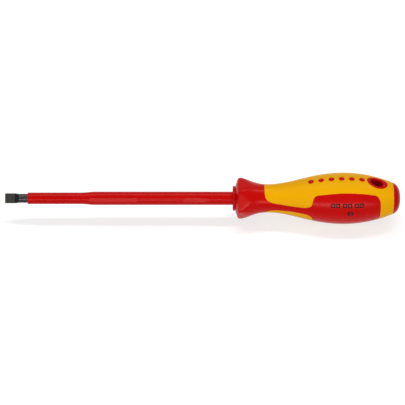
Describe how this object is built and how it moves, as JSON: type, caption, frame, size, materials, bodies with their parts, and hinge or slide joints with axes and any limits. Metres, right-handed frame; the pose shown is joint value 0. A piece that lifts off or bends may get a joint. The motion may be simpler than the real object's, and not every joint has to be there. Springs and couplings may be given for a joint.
{
  "type": "insulated screwdriver",
  "caption": "Insulated screwdriver for slotted screws: sleeved steel blade and a contoured two-colour handle with a soft grip, anti-roll collar and a hanging hole.",
  "frame": {"origin": "middle of the blade tip's end face, on the tool's axis", "axes": "+X along the axis from the tip to the tail, +Z along the hanging hole, +Y completes the right-handed frame; the tool lies along X"},
  "size_m": [0.262, 0.034, 0.034],
  "materials": {
    "blade_steel": "dark burnished, fine grinding marks on the tip",
    "sleeve_plastic": "satin moulded",
    "core_plastic": "satin moulded",
    "shell_plastic": "fine matt moulded",
    "grip_rubber": "silky soft-touch",
    "cap_plastic": "satin moulded"
  },
  "bodies": {
    "root": {"blade": "blade_steel", "blade_insulation": "sleeve_plastic", "handle_core": "core_plastic", "handle_shell": "shell_plastic", "soft_grip": "grip_rubber", "end_cap": "cap_plastic"}
  },
  "joints": []
}
